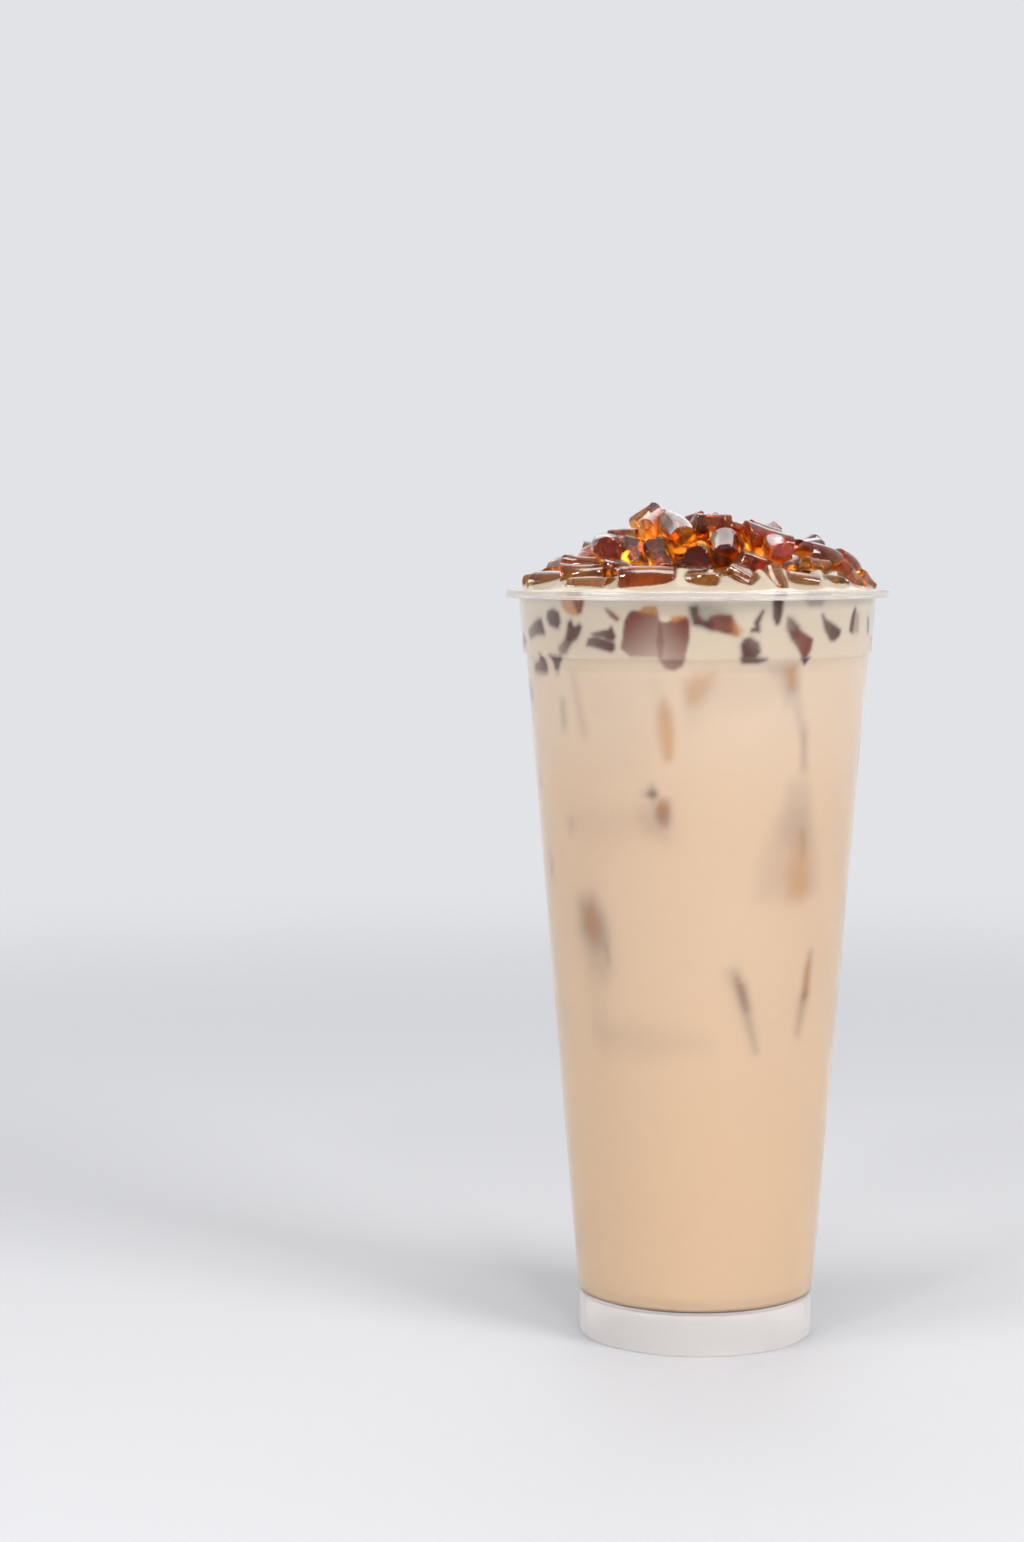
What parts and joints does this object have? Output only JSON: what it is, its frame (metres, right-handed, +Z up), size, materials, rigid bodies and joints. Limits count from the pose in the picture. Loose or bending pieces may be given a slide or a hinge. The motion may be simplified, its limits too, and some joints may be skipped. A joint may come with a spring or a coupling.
{
  "type": "bubble tea",
  "caption": "Tall takeaway cup of iced milk tea, filled to the rim and heaped with short rods of brown sugar jelly.",
  "frame": {"origin": "centre of the foot ring's underside, where the cup stands", "axes": "+Z up along the cup's axis, -Y towards the viewer of the picture, +X to the viewer's right"},
  "size_m": [0.09, 0.09, 0.1971],
  "materials": {
    "cup": "clear moulded polypropylene with a faint milky haze and a fine orange-peel gloss",
    "milk_tea": "opaque, smooth and softly glossy milk tea",
    "jelly": "wet, clear brown sugar jelly"
  },
  "bodies": {
    "root": {"cup": "cup", "milk_tea": "milk_tea", "jelly_heap": "jelly"}
  },
  "joints": []
}
